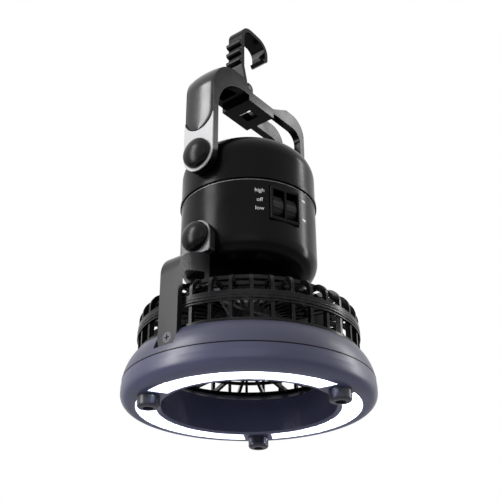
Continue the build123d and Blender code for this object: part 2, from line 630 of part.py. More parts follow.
with BuildPart() as yoke_screws:
    for side in sides:
        with BuildSketch(facing_out(side * YOKE_OUTER, YOKE_SCREW_Z)):
            Circle(yoke_screw_head_radius)
        extrude(amount=-yoke_screw_head)
        with BuildSketch(facing_out(side * YOKE_OUTER, YOKE_SCREW_Z)):
            Circle(SHELL_SCREW_RADIUS)
        extrude(amount=-yoke_screw_length)
        with BuildSketch(facing_out(side * YOKE_OUTER, YOKE_SCREW_Z)):
            Rectangle(yoke_cross_length, yoke_cross_width)
            Rectangle(yoke_cross_width, yoke_cross_length)
        extrude(amount=-cross_depth, mode=Mode.SUBTRACT)
save(yoke_screws, "yoke_screws")

with BuildPart() as ear_trims:
    for side in sides:
        with BuildSketch(facing_out(side * ear_outer, TILT_Z)) as trim_outline:
            Circle(EAR_RADIUS)
            with Locations((0, -EAR_DROP / 2)):
                Rectangle(2 * EAR_RADIUS, EAR_DROP)
            fillet(trim_outline.vertices().group_by(Axis.Y)[0], 2.0)
            Circle(BOLT_RADIUS + SLIDE_GAP, mode=Mode.SUBTRACT)
        extrude(amount=TRIM_THICKNESS)
save(ear_trims, "ear_trims")


def make_bolts(inner, seat, axis_z):
    """Two shoulder bolts on one hinge axis, from inner to the seat of their heads."""
    with BuildPart() as bolts:
        for side in sides:
            with BuildSketch(facing_out(side * inner, axis_z)):
                Circle(BOLT_RADIUS)
            extrude(amount=seat - inner)
            with BuildSketch(facing_out(side * seat, axis_z)):
                Circle(BOLT_HEAD_RADIUS)
            extrude(amount=BOLT_HEAD_HEIGHT)
            with BuildSketch(facing_out(side * (seat + BOLT_HEAD_HEIGHT), axis_z)):
                RegularPolygon(BOLT_SOCKET_RADIUS, 6)
            extrude(amount=-BOLT_SOCKET_DEPTH, mode=Mode.SUBTRACT)
    return bolts


def make_washers(inner, outer, axis_z):
    """Two friction washers between the faces at inner and outer."""
    with BuildPart() as washers:
        for side in sides:
            with BuildSketch(facing_out(side * inner, axis_z)):
                Circle(WASHER_RADIUS)
                Circle(BOLT_RADIUS + SLIDE_GAP, mode=Mode.SUBTRACT)
            extrude(amount=outer - inner)
    return washers


def make_knobs(seat, axis_z, radius):
    """Two dome caps over the bolt heads, hollow round the heads."""
    with BuildPart() as knobs:
        for side in sides:
            with BuildSketch(Plane(origin=(side * seat, 0, axis_z), x_dir=(0, 0, 1), z_dir=(0, side, 0))):
                with BuildLine():
                    foot = Line((0, 0), (radius, 0))
                    rim = Line(foot @ 1, (radius, KNOB_RIM))
                    crown = dome(radius, KNOB_RIM, KNOB_DEPTH - KNOB_RIM, KNOB_ROUND)
                    Line(crown @ 1, foot @ 0)
                make_face()
            revolve(axis=Axis((side * seat, 0, axis_z), (1, 0, 0)))
            with BuildSketch(facing_out(side * seat, axis_z)):
                Circle(BOLT_HEAD_RADIUS + SLIDE_GAP)
            extrude(amount=BOLT_HEAD_HEIGHT + 0.2, mode=Mode.SUBTRACT)
    return knobs


tilt_seat = ear_outer + TRIM_THICKNESS
tilt_bolts = make_bolts(BOLT_INNER, tilt_seat, TILT_Z)
save(tilt_bolts, "tilt_bolts")
tilt_washers = make_washers(EAR_INNER - WASHER_THICKNESS, EAR_INNER, TILT_Z)
save(tilt_washers, "tilt_washers")
tilt_knobs = make_knobs(tilt_seat, TILT_Z, KNOB_RADIUS)
save(tilt_knobs, "tilt_knobs")

# ================================================================ battery canister
can_inner = CAN_RADIUS - CAN_WALL
bottom_rise = TILT_Z - CAN_BOTTOM
barrel_end = EAR_INNER - WASHER_THICKNESS - 0.1
tray_radius = can_inner - 3.5
panel_flat = CAN_RADIUS + BEZEL_PROUD      # outer face of the bezel, from the middle
barrel_floor = 0.2        # wall that closes a barrel's inner end
bolt_end_gap = 1.0
panel_depth = 6.0         # the panel's opening reaches this far into the canister


def panel_plane(distance):
    """Plane of the switch panel, facing out, at a distance from the middle."""
    direction = (cos(radians(SWITCH_ANGLE)), sin(radians(SWITCH_ANGLE)))
    return Plane(
        origin=(distance * direction[0], distance * direction[1], BEZEL_Z),
        x_dir=(-direction[1], direction[0], 0),
        z_dir=(direction[0], direction[1], 0),
    )


with BuildPart() as canister:
    with BuildSketch(Plane.XZ):
        with BuildLine():
            dome(CAN_RADIUS, TILT_Z, bottom_rise, CAN_SHOULDER, up=-1)
            outer_side = Line((CAN_RADIUS, TILT_Z), (CAN_RADIUS, CAN_SEAM_Z))
            rim = Line(outer_side @ 1, (can_inner, CAN_SEAM_Z))
            Line(rim @ 1, (can_inner, TILT_Z))
            dome(can_inner, TILT_Z, bottom_rise - CAN_WALL, CAN_SHOULDER - CAN_WALL, up=-1)
            Line((0, CAN_BOTTOM), (0, CAN_BOTTOM + CAN_WALL))
        make_face()
    revolve(axis=Axis.Z)
    for side in sides:
        with BuildSketch(facing_out(side * barrel_end, TILT_Z)):
            Circle(BARREL_RADIUS)
        extrude(amount=BOLT_INNER - bolt_end_gap - barrel_floor - barrel_end)
        with BuildSketch(facing_out(side * barrel_end, TILT_Z)):
            Circle(BOLT_RADIUS + SLIDE_GAP)
        extrude(amount=BOLT_INNER - bolt_end_gap - barrel_end, mode=Mode.SUBTRACT)
    with BuildSketch(panel_plane(CAN_RADIUS + 2.0)):
        Rectangle(BEZEL_WIDTH + 2 * FIT_GAP, BEZEL_HEIGHT + 2 * FIT_GAP)
    extrude(amount=-2.0 - panel_depth, mode=Mode.SUBTRACT)
save(canister, "canister")

tray_wall = 0.8
tray_wall_height = 14.0
barrel_room = 2 * BARREL_RADIUS + 1.0      # cut-outs of the tray, which clear the barrels

with BuildPart() as battery_tray:
    with BuildSketch(Plane.XY.offset(TRAY_Z)):
        Circle(tray_radius)
        for side in sides:
            with Locations((side * tray_radius, 0)):
                Rectangle(2 * (tray_radius - BOLT_INNER + 1.7), barrel_room, mode=Mode.SUBTRACT)
    extrude(amount=TRAY_THICKNESS)
    with BuildSketch(Plane.XY.offset(TRAY_Z)):
        with Locations((-CELL_X, 0), (CELL_X, 0)):
            Circle(CELL_RADIUS + FIT_GAP + tray_wall)
        with Locations((-CELL_X, 0), (CELL_X, 0)):
            Circle(CELL_RADIUS + FIT_GAP, mode=Mode.SUBTRACT)
        for side in sides:
            with Locations((side * tray_radius, 0)):
                Rectangle(2 * (tray_radius - BOLT_INNER + 3.0), barrel_room, mode=Mode.SUBTRACT)
    extrude(amount=tray_wall_height)
save(battery_tray, "battery_tray")

tray_top = TRAY_Z + TRAY_THICKNESS
leaf_thickness = 0.5
leaf_base_length = 16.0
leaf_base_width = 10.0
leaf_half = 7.0           # half length of the bent leaf
leaf_width = 5.0
leaf_foot_z = tray_top + 0.4
with BuildPart() as battery_contacts:
    with BuildSketch(Plane.XZ):
        for side in sides:
            with Locations((side * CELL_X, tray_top + leaf_thickness / 2)):
                Rectangle(leaf_base_length, leaf_thickness)
    extrude(amount=leaf_base_width / 2, both=True)
    with BuildSketch(Plane.XZ):
        for side in sides:
            with BuildLine():
                middle = side * CELL_X
                spring_top = ThreePointArc(
                    (middle - leaf_half, leaf_foot_z), (middle, CELL_Z), (middle + leaf_half, leaf_foot_z)
                )
                under = ThreePointArc(
                    (middle + leaf_half - 1.0, leaf_foot_z),
                    (middle, CELL_Z - leaf_thickness),
                    (middle - leaf_half + 1.0, leaf_foot_z),
                )
                Line(spring_top @ 1, under @ 0)
                Line(under @ 1, spring_top @ 0)
            make_face()
    extrude(amount=leaf_width / 2, both=True)
save(battery_contacts, "battery_contacts")

cell_crown = 2.0
cell_crown_radius = 4.75
with BuildPart() as cells:
    with BuildSketch(Plane.XY.offset(CELL_Z)):
        with Locations((-CELL_X, 0), (CELL_X, 0)):
            Circle(CELL_RADIUS)
    extrude(amount=CELL_LENGTH - cell_crown)
    with BuildSketch(Plane.XY.offset(CELL_Z + CELL_LENGTH - cell_crown)):
        with Locations((-CELL_X, 0), (CELL_X, 0)):
            Circle(cell_crown_radius)
    extrude(amount=cell_crown)
save(cells, "cells")

# ================================================================ battery cap
cap_gap = 0.3
cap_bottom = CAN_SEAM_Z + cap_gap
lip_height = 2.0
cap_side = CAP_RADIUS - 0.8
cap_inner = cap_side - CAN_WALL
tongue_outer = can_inner - 0.1
tongue_wall = 1.8
hinge_boss_end = HANDLE_INNER - 0.6
contact_thickness = 0.6
plate_z = CELL_Z + CELL_LENGTH + 0.3 + contact_thickness      # underside of the contact plate
post_radius = 4.0
post_bottom = plate_z + contact_thickness
cap_screw_length = 8.0
cap_screw_head = 1.2

with BuildPart() as battery_cap:
    with BuildSketch(Plane.XZ):
        with BuildLine():
            Polyline(
                (cap_inner, CAP_SIDE_TOP),
                (cap_inner, cap_bottom + lip_height),
                (tongue_outer - tongue_wall, cap_bottom),
                (tongue_outer - tongue_wall, CAN_SEAM_Z - CAP_SKIRT),
                (tongue_outer, CAN_SEAM_Z - CAP_SKIRT),
                (tongue_outer, cap_bottom),
                (CAP_RADIUS, cap_bottom),
                (CAP_RADIUS, cap_bottom + lip_height),
                (cap_side, cap_bottom + lip_height + 0.8),
                (cap_side, CAP_SIDE_TOP),
            )
            dome(cap_side, CAP_SIDE_TOP, CAP_RISE, CAP_SHOULDER)
            Polyline((0, CAP_TOP), (0, post_bottom), (post_radius, post_bottom))
            inner_crown = dome(
                cap_inner, CAP_SIDE_TOP, CAP_RISE - CAN_WALL, CAP_SHOULDER - CAN_WALL, reach=post_radius
            )
            Line(inner_crown @ 1, (post_radius, post_bottom))
        make_face()
    revolve(axis=Axis.Z)
    for side in sides:
        with BuildSketch(facing_out(side * hinge_boss_end, SWING_Z)):
            Circle(WASHER_RADIUS + 1.0)
        extrude(amount=HANDLE_BOLT_INNER - 0.2 - hinge_boss_end)
        with BuildSketch(facing_out(side * hinge_boss_end, SWING_Z)):
            Circle(BOLT_RADIUS + SLIDE_GAP)
        extrude(amount=HANDLE_BOLT_INNER - 0.1 - hinge_boss_end, mode=Mode.SUBTRACT)
    with BuildSketch(Plane.XY.offset(post_bottom)):
        Circle(SHELL_SCREW_RADIUS + SLIDE_GAP)
    extrude(amount=cap_screw_length, mode=Mode.SUBTRACT)
save(battery_cap, "battery_cap")

with BuildPart() as cap_contact_plate:
    with BuildSketch(Plane.XY.offset(plate_z)):
        SlotOverall(4 * CELL_RADIUS - 14.0, 12.0)
        Circle(SHELL_SCREW_RADIUS + SLIDE_GAP, mode=Mode.SUBTRACT)
    extrude(amount=contact_thickness)
    with BuildSketch(Plane.XY.offset(plate_z)):
        with Locations((-CELL_X, 0), (CELL_X, 0)):
            Circle(3.0)
    extrude(amount=-contact_thickness)
save(cap_contact_plate, "cap_contact_plate")

with BuildPart() as cap_plate_screw:
    with BuildSketch(Plane.XY.offset(plate_z)):
        Circle(screw_head_radius)
    extrude(amount=-cap_screw_head)
    with BuildSketch(Plane.XY.offset(plate_z)):
        Circle(SHELL_SCREW_RADIUS)
    extrude(amount=cap_screw_length)
save(cap_plate_screw, "cap_plate_screw")

# ================================================================ switches
bezel_inner_height = BEZEL_HEIGHT - 4.4
switch_places = ((-ROCKER_SPACING / 2, "fan_switch"), (ROCKER_SPACING / 2, "light_switch"))
rocker_face = ROCKER_RADIUS - 3.4
rocker_axle = panel_flat - rocker_face - 0.8     # axles of the rockers, from the middle
block_front = rocker_axle - 3.3
block_depth = 2.6
block_width = ROCKER_SPACING - 0.6
board_front = block_front - block_depth
rocker_hub_radius = 2.6
rocker_rib_radius = 0.5
rocker_rib_angles = (58, 74, 106, 122)

with BuildPart() as switch_bezel:
    with BuildSketch(panel_plane(panel_flat)):
        RectangleRounded(BEZEL_WIDTH, BEZEL_HEIGHT, 1.2)
    extrude(amount=board_front - panel_flat)
    fillet(switch_bezel.faces().sort_by(Axis(panel_plane(0).origin, panel_plane(0).z_dir))[-1].edges(), 0.6)
    with BuildSketch(panel_plane(panel_flat)):
        for offset_x, _ in switch_places:
            with Locations((offset_x, 0)):
                Rectangle(ROCKER_WIDTH + 2 * FIT_GAP, bezel_inner_height)
    extrude(amount=board_front - panel_flat, mode=Mode.SUBTRACT)
    with BuildSketch(panel_plane(board_front)):
        Rectangle(2 * block_width + 1.4, BEZEL_HEIGHT - 2.4)
    extrude(amount=block_depth + FIT_GAP, mode=Mode.SUBTRACT)
    with BuildSketch(Plane(panel_plane(rocker_axle).origin, x_dir=(0, 0, 1), z_dir=panel_plane(0).x_dir)):
        Circle(ROCKER_AXLE_RADIUS + SLIDE_GAP)
    extrude(amount=ROCKER_SPACING / 2 + ROCKER_WIDTH / 2 + 1.0, both=True, mode=Mode.SUBTRACT)
save(switch_bezel, "switch_bezel")

with BuildPart() as switch_board:
    with BuildSketch(panel_plane(board_front)):
        Rectangle(BEZEL_WIDTH, BEZEL_HEIGHT)
    extrude(amount=-BOARD_THICKNESS)
save(switch_board, "switch_board")

with BuildPart() as switch_blocks:
    with BuildSketch(panel_plane(board_front)):
        with GridLocations(ROCKER_SPACING, 1.0, 2, 1):
            Rectangle(block_width, BEZEL_HEIGHT - 5.0)
    extrude(amount=block_depth)
save(switch_blocks, "switch_blocks")


def make_rocker(offset_x):
    """Three-position rocker: a ribbed curved face on a cross axle."""
    side_plane = Plane(panel_plane(rocker_axle).origin, x_dir=(0, 0, 1), z_dir=panel_plane(0).x_dir)
    side_plane = side_plane.offset(offset_x)
    with BuildPart() as rocker:
        with BuildSketch(side_plane):
            Circle(rocker_face)
            with Locations((0, -ROCKER_RADIUS)):
                Rectangle(4 * ROCKER_RADIUS, 2 * ROCKER_RADIUS - 1.6, mode=Mode.SUBTRACT)
        extrude(amount=ROCKER_WIDTH / 2, both=True)
        with BuildSketch(side_plane):
            Circle(rocker_hub_radius)
        extrude(amount=ROCKER_WIDTH / 2, both=True)
        with BuildSketch(side_plane):
            Circle(ROCKER_AXLE_RADIUS)
        extrude(amount=ROCKER_WIDTH / 2 + 0.7, both=True)
        with BuildSketch(side_plane):
            for angle in rocker_rib_angles:
                with Locations((rocker_face * cos(radians(angle)), rocker_face * sin(radians(angle)))):
                    Circle(rocker_rib_radius)
        extrude(amount=ROCKER_WIDTH / 2 - 0.6, both=True)
    return rocker


for place, label in switch_places:
    save(make_rocker(place), label)

# ================================================================ handle
handle_outer = HANDLE_INNER + HANDLE_THICKNESS
window_width = HOOK_WIDTH + 2 * MOVE_GAP
right_crest = HUB_HALF + 15.0          # the shoulders rise from the hub to these places
left_crest = -HUB_HALF - 3.0
trough_end = left_crest - 3.0         # the left shoulder is hollow up to here
left_bend_x = -handle_outer + LEFT_BEND
left_bend_z = HANDLE_TOP - LEFT_BEND
roof_z = HANDLE_TOP - ROOF_THICKNESS
knuckle_radius = HOOK_PIN_RADIUS + 2.2
lug_width = 2.8
lug_inner = HOOK_WIDTH / 2 + FIT_GAP

with BuildPart() as handle:
    with BuildSketch(Plane.XZ) as bail:
        with BuildLine():
            Polyline(
                (-HUB_HALF, HANDLE_UNDER),
                (HUB_HALF, HANDLE_UNDER),
                (HUB_HALF, SHOULDER_UNDER),
                (HANDLE_INNER, SHOULDER_UNDER),
                (HANDLE_INNER, SWING_Z),
                (handle_outer, SWING_Z),
                (handle_outer, HANDLE_TOP),
                (right_crest, HANDLE_TOP),
                (HUB_HALF, HUB_TOP),
                (-HUB_HALF, HUB_TOP),
                (left_crest, HANDLE_TOP),
                (-handle_outer, HANDLE_TOP),
                (-handle_outer, SWING_Z),
                (-HANDLE_INNER, SWING_Z),
                (-HANDLE_INNER, SHOULDER_UNDER),
                (-HUB_HALF, SHOULDER_UNDER),
                close=True,
            )
        make_face()
        roundings = (
            (handle_outer, HANDLE_TOP, HANDLE_BEND),
            (HANDLE_INNER, SHOULDER_UNDER, HANDLE_BEND - HANDLE_THICKNESS),
            (right_crest, HANDLE_TOP, CREST_ROUND),
            (-handle_outer, HANDLE_TOP, LEFT_BEND),
            (-HANDLE_INNER, SHOULDER_UNDER, LEFT_ARCH),
            (left_crest, HANDLE_TOP, CREST_ROUND),
        )
        for corner_x, corner_z, rounding in roundings:
            corner = bail.vertices().sort_by_distance((corner_x, corner_z))[0]
            fillet(corner, rounding)
    extrude(amount=HANDLE_WIDTH / 2, both=True)
    for side in sides:
        with BuildSketch(facing_out(side * HANDLE_INNER, SWING_Z)):
            Circle(HANDLE_WIDTH / 2)
        extrude(amount=HANDLE_THICKNESS)
    with BuildSketch(Plane.XZ):
        with Locations((HUB_HALF + 2.0 + HANDLE_INNER, (WINDOW_BOTTOM + HANDLE_TOP) / 2 + 5.0)):
            Rectangle(2 * HANDLE_INNER, HANDLE_TOP - WINDOW_BOTTOM + 10.0)
        with BuildLine():
            roof = Line((trough_end, roof_z), (left_bend_x, roof_z))
            turn = CenterArc((left_bend_x, left_bend_z), LEFT_BEND - ROOF_THICKNESS, 90, 90)
            trough_side = Line(turn @ 1, (-handle_outer + ROOF_THICKNESS, WINDOW_BOTTOM))
            trough_foot = Line(trough_side @ 1, (trough_end, WINDOW_BOTTOM))
            Line(trough_foot @ 1, roof @ 0)
        make_face()
    extrude(amount=window_width / 2, both=True, mode=Mode.SUBTRACT)
    with BuildSketch(Plane.XZ):
        with Locations((HOOK_PIN_X, HOOK_PIN_Z)):
            Circle(knuckle_radius)
        with Locations((HOOK_PIN_X, (HOOK_PIN_Z + HUB_TOP) / 2 - 0.5)):
            Rectangle(2 * knuckle_radius, HOOK_PIN_Z - HUB_TOP + 1.0)
    extrude(amount=lug_inner + lug_width, both=True)
    with BuildSketch(Plane.XZ):
        with Locations((HOOK_PIN_X, HOOK_PIN_Z)):
            Circle(knuckle_radius + MOVE_GAP)
            Rectangle(2 * knuckle_radius + 1.0, 2 * knuckle_radius + 1.0)
    extrude(amount=lug_inner, both=True, mode=Mode.SUBTRACT)
    with BuildSketch(Plane.XZ):
        with Locations((HOOK_PIN_X, HOOK_PIN_Z)):
            Circle(HOOK_PIN_RADIUS + SLIDE_GAP)
    extrude(amount=HANDLE_WIDTH, both=True, mode=Mode.SUBTRACT)
    with BuildSketch(Plane.XY.offset(HANDLE_UNDER)):
        with Locations((HOOK_PIN_X + knuckle_radius + HUB_SLOT / 2 + 2.0, 0)):
            Rectangle(HUB_SLOT, HUB_SLOT)
    extrude(amount=HANDLE_TOP - HANDLE_UNDER, mode=Mode.SUBTRACT)
    with BuildSketch(Plane.YZ.offset(-handle_outer)):
        with Locations((0, SWING_Z)):
            Circle(BOLT_RADIUS + SLIDE_GAP)
    extrude(amount=2 * handle_outer, mode=Mode.SUBTRACT)
save(handle, "handle")

pad_round_z = PAD_BOTTOM + HANDLE_WIDTH / 2
with BuildPart() as handle_pad:
    with BuildSketch(Plane.XZ):
        with BuildLine():
            pad_side = Line((-handle_outer, PAD_BOTTOM), (-handle_outer, left_bend_z))
            pad_bend = CenterArc((left_bend_x, left_bend_z), LEFT_BEND, 180, -90)
            outer_bend = CenterArc((left_bend_x, left_bend_z), LEFT_BEND + PAD_PROUD, 180, -90)
            Line(pad_bend @ 1, outer_bend @ 1)
            Line(outer_bend @ 0, (-handle_outer - PAD_PROUD, PAD_BOTTOM))
            Line((-handle_outer - PAD_PROUD, PAD_BOTTOM), pad_side @ 0)
        make_face()
    extrude(amount=HANDLE_WIDTH / 2, both=True)
    with BuildSketch(facing_out(-handle_outer, pad_round_z)):
        Circle(HANDLE_WIDTH / 2)
        with Locations((0, HANDLE_TOP - PAD_BOTTOM)):
            Rectangle(HANDLE_WIDTH, 2 * (HANDLE_TOP - PAD_BOTTOM))
    extrude(amount=LEFT_BEND + PAD_PROUD + 4.0, both=True, mode=Mode.INTERSECT)
    proud_faces = handle_pad.faces().sort_by(Axis.X)[:1]
    fillet(proud_faces[0].edges(), PAD_PROUD - 0.4)
save(handle_pad, "handle_pad")

with BuildPart() as arm_trims:
    for side in sides:
        with BuildSketch(facing_out(side * handle_outer, SWING_Z)):
            Circle(HANDLE_WIDTH / 2)
            with Locations((0, (pad_round_z - SWING_Z) / 2)):
                Rectangle(HANDLE_WIDTH, pad_round_z - SWING_Z)
            Circle(BOLT_RADIUS + SLIDE_GAP, mode=Mode.SUBTRACT)
            with Locations((0, pad_round_z - SWING_Z)):
                Circle(HANDLE_WIDTH / 2 + FIT_GAP, mode=Mode.SUBTRACT)
        extrude(amount=TRIM_THICKNESS)
save(arm_trims, "arm_trims")

swing_seat = handle_outer + TRIM_THICKNESS
handle_bolts = make_bolts(HANDLE_BOLT_INNER, swing_seat, SWING_Z)
save(handle_bolts, "handle_bolts")
handle_washers = make_washers(hinge_boss_end + 0.1, HANDLE_INNER, SWING_Z)
save(handle_washers, "handle_washers")
handle_knobs = make_knobs(swing_seat, SWING_Z, HANDLE_KNOB_RADIUS)
save(handle_knobs, "handle_knobs")

# ================================================================ hook
hook_mid_top = HOOK_TOP - HOOK_THICKNESS / 2
hook_bend = 9.0
rib_radius = 2.1
pin_proud = 0.4

with BuildPart() as hook:
    with BuildSketch(Plane.XZ):
        with BuildLine() as hook_path:
            FilletPolyline(
                (HOOK_PIN_X, HOOK_PIN_Z),
                (HOOK_PIN_X, HOOK_PIN_Z + 8.0),
                (HOOK_STEM_X, HOOK_PIN_Z + 19.0),
                (HOOK_STEM_X, hook_mid_top),
                (HOOK_TIP_X, hook_mid_top - 2.0),
                (HOOK_TIP_X, hook_mid_top - 15.0),
                (HOOK_TIP_X - 3.0, hook_mid_top - 17.0),
                radius=(4.0, 4.0, hook_bend, hook_bend, 1.8),
            )
        trace(hook_path.line, HOOK_THICKNESS)
        with Locations((HOOK_PIN_X, HOOK_PIN_Z)):
            Circle(knuckle_radius)
        for rib_height in HOOK_RIBS:
            with Locations((HOOK_STEM_X - HOOK_THICKNESS / 2 - 0.6, HOOK_PIN_Z + rib_height)):
                Circle(rib_radius)
    extrude(amount=HOOK_WIDTH / 2, both=True)
    with BuildSketch(Plane.XZ):
        with Locations((HOOK_PIN_X, HOOK_PIN_Z)):
            Circle(HOOK_PIN_RADIUS + SLIDE_GAP)
    extrude(amount=HOOK_WIDTH, both=True, mode=Mode.SUBTRACT)
save(hook, "hook")

with BuildPart() as hook_pin:
    with BuildSketch(Plane.XZ):
        with Locations((HOOK_PIN_X, HOOK_PIN_Z)):
            Circle(HOOK_PIN_RADIUS)
    extrude(amount=lug_inner + lug_width + pin_proud, both=True)
save(hook_pin, "hook_pin")
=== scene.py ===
import json
from math import cos, radians, sin

import bpy
from mathutils import Matrix, Quaternion, Vector


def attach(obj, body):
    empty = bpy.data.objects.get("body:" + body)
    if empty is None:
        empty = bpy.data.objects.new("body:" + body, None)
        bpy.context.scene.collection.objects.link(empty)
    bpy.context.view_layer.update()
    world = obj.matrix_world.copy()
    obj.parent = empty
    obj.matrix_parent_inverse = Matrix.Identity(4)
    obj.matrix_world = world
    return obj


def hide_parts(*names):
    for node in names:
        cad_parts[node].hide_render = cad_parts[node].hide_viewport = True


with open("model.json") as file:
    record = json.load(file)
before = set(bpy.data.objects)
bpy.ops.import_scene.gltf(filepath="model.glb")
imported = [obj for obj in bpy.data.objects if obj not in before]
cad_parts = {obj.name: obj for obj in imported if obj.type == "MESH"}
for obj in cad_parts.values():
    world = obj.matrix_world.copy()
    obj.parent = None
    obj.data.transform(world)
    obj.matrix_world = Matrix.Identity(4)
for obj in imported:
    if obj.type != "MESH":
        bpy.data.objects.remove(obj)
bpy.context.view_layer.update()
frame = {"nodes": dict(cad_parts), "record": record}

# Portable camping fan: finishes, printed marks, parting lines, grip pad, stage, lamps and
# camera round the CAD frame. Lengths are in metres, angles in degrees unless noted.

MM = 0.001

# -------------------------------------------------------- sizes taken from the solids
CAN_RADIUS = 41.9 * MM
CAN_SEAM_Z = 134.0 * MM        # the cap meets the canister here
SEAM_RADIUS = 72.0 * MM        # both ring shells meet here
SEAM_Z = 20.0 * MM
BAND_RADIUS = 64.6 * MM        # outer face of the cage's band
HANDLE_OUTER = 48.0 * MM       # outer face of the handle's arms
LEFT_BEND = 22.0 * MM          # outer bend of the left shoulder
LEFT_BEND_Z = 202.0 * MM       # height of that bend's centre
PAD_BOTTOM = 171.0 * MM

# -------------------------------------------------------- parts of the shaders
GRAIN_SCALE = 1800.0           # noise cells per metre in the fine grain
GRAIN_DETAIL = 3.0
WAVE_SCALE = 55.0              # noise cells per metre in the broad waviness
WAVE_DETAIL = 4.0
WAVE_SHARE = 0.3               # height of the waviness beside the grain's
EDGE_RADIUS = 0.4 * MM         # how far the wear reaches from an edge
EDGE_SAMPLES = 4
EDGE_TURN = (0.99, 0.80)       # rounded normal against the true one: no wear, full wear
WEAR_SCALE = 260.0             # noise cells per metre that break the wear up
WEAR_DETAIL = 5.0
WEAR_PATCHES = (0.42, 0.62)    # noise values of an untouched and of a rubbed place


def new_group(name, inputs, outputs):
    """A shader node group with named number sockets, and its input and output nodes."""
    group = bpy.data.node_groups.new(name, "ShaderNodeTree")
    new_socket = group.interface.new_socket
    for socket_name, value in inputs.items():
        socket = new_socket(socket_name, in_out="INPUT", socket_type="NodeSocketFloat")
        socket.default_value = value
    for socket_name in outputs:
        new_socket(socket_name, in_out="OUTPUT", socket_type="NodeSocketFloat")
    return group, group.nodes.new("NodeGroupInput"), group.nodes.new("NodeGroupOutput")


def own_place(tree):
    """Socket of a piece's own coordinates."""
    return tree.nodes.new("ShaderNodeTexCoord").outputs["Object"]


def noise(tree, place, detail):
    """Noise node over the coordinates of the place socket."""
    node = tree.nodes.new("ShaderNodeTexNoise")
    node.inputs["Detail"].default_value = detail
    tree.links.new(place, node.inputs["Vector"])
    return node


def combine(tree, operation, first, second):
    """Socket of two number sockets joined by a math operation."""
    node = tree.nodes.new("ShaderNodeMath")
    node.operation = operation
    tree.links.new(first, node.inputs[0])
    tree.links.new(second, node.inputs[1])
    return node.outputs["Value"]


def remap(tree, value, source=(0.0, 1.0), target=(0.0, 1.0)):
    """Socket of a number carried from the source range to the target range."""
    node = tree.nodes.new("ShaderNodeMapRange")
    node.inputs["From Min"].default_value, node.inputs["From Max"].default_value = source
    node.inputs["To Min"].default_value, node.inputs["To Max"].default_value = target
    tree.links.new(value, node.inputs["Value"])
    return node.outputs["Result"]


def blend(tree, share, low, high):
    """Socket of a colour between low and high, by the share socket."""
    node = tree.nodes.new("ShaderNodeMix")
    node.data_type = "RGBA"
    node.inputs["A"].default_value = (*low, 1.0)
    node.inputs["B"].default_value = (*high, 1.0)
    tree.links.new(share, node.inputs["Factor"])
    return node.outputs["Result"]


def moulded_grain_group():
    """Fine spark-eroded grain of a moulded skin, with broader waviness under it."""
    group, start, end = new_group(
        "moulded_grain", {"Scale": GRAIN_SCALE, "Waviness": WAVE_SHARE}, ("Height", "Patches")
    )
    place = own_place(group)
    fine = noise(group, place, GRAIN_DETAIL)
    broad = noise(group, place, WAVE_DETAIL)
    broad.inputs["Scale"].default_value = WAVE_SCALE
    wave = combine(group, "MULTIPLY", broad.outputs["Fac"], start.outputs["Waviness"])
    height = combine(group, "ADD", fine.outputs["Fac"], wave)
    link = group.links.new
    link(start.outputs["Scale"], fine.inputs["Scale"])
    link(height, end.inputs["Height"])
    link(broad.outputs["Fac"], end.inputs["Patches"])
    return group


def edge_wear_group():
    """1 along the edges of a piece, broken up by noise, 0 on its faces."""
    group, start, end = new_group(
        "edge_wear", {"Radius": EDGE_RADIUS, "Breakup": WEAR_SCALE}, ("Mask",)
    )
    rounded = group.nodes.new("ShaderNodeBevel")
    rounded.samples = EDGE_SAMPLES
    surface = group.nodes.new("ShaderNodeNewGeometry")
    align = group.nodes.new("ShaderNodeVectorMath")
    align.operation = "DOT_PRODUCT"
    patches = noise(group, own_place(group), WEAR_DETAIL)
    link = group.links.new
    link(start.outputs["Radius"], rounded.inputs["Radius"])
    link(rounded.outputs["Normal"], align.inputs[0])
    link(surface.outputs["Normal"], align.inputs[1])
    link(start.outputs["Breakup"], patches.inputs["Scale"])
    edge = remap(group, align.outputs["Value"], source=EDGE_TURN)
    keep = remap(group, patches.outputs["Fac"], source=WEAR_PATCHES)
    link(combine(group, "MULTIPLY", edge, keep), end.inputs["Mask"])
    return group


GRAIN = moulded_grain_group()
WEAR = edge_wear_group()

# -------------------------------------------------------- finishes
INK = (0.86, 0.87, 0.88)
RUBBED_INK = (0.7, 0.7, 0.7)
GLOW = (0.50, 0.56, 1.0)       # light the reflector gives back
LED_WHITE = (0.72, 0.78, 1.0)

RUBBED_GAIN = 2.2              # a rubbed edge is lighter than the skin by this factor
RUBBED_LIFT = 0.02             # and by this much more
PATCH_RANGE = (0.3, 0.7)       # noise values of the glossiest and the dullest patches
MOULDED_GLOSS = (-0.05, 0.07)  # roughness of those patches, from the finish's own
MOULDED_LEAST = 0.03           # least roughness
RELIEF_DEPTH = 0.2 * MM

DRAWN_SCALE = 350.0            # noise cells per metre along the drawn lines
DRAWN_STRETCH = (1.0, 1.0, 30.0)       # and 30 times as fine across them
DRAWN_DETAIL = 4.0
DRAWN_SHADE = 0.82             # darkest drawn line, as a share of the metal's colour
METAL_GLOSS = (-0.08, 0.10)
METAL_LEAST = 0.05

GLOW_ROUGHNESS = 0.35
GLOW_SHADE = 0.88              # dimmest patch, as a share of the full glow

LENS_COLOUR = (0.96, 0.98, 1.0)
LENS_CLEARNESS = 0.75
LENS_INDEX = 1.49              # refractive index of acrylic
LENS_GLOW = 0.95
LENS_GLOSS = (0.04, 0.16)


def new_material(name):
    """A material, its node tree and its shader."""
    material = bpy.data.materials.new(name)
    material.use_nodes = True
    return material, material.node_tree, material.node_tree.nodes["Principled BSDF"]


def add_group(tree, group):
    node = tree.nodes.new("ShaderNodeGroup")
    node.node_tree = group
    return node


def shaded(colour, share):
    return tuple(c * share for c in colour)


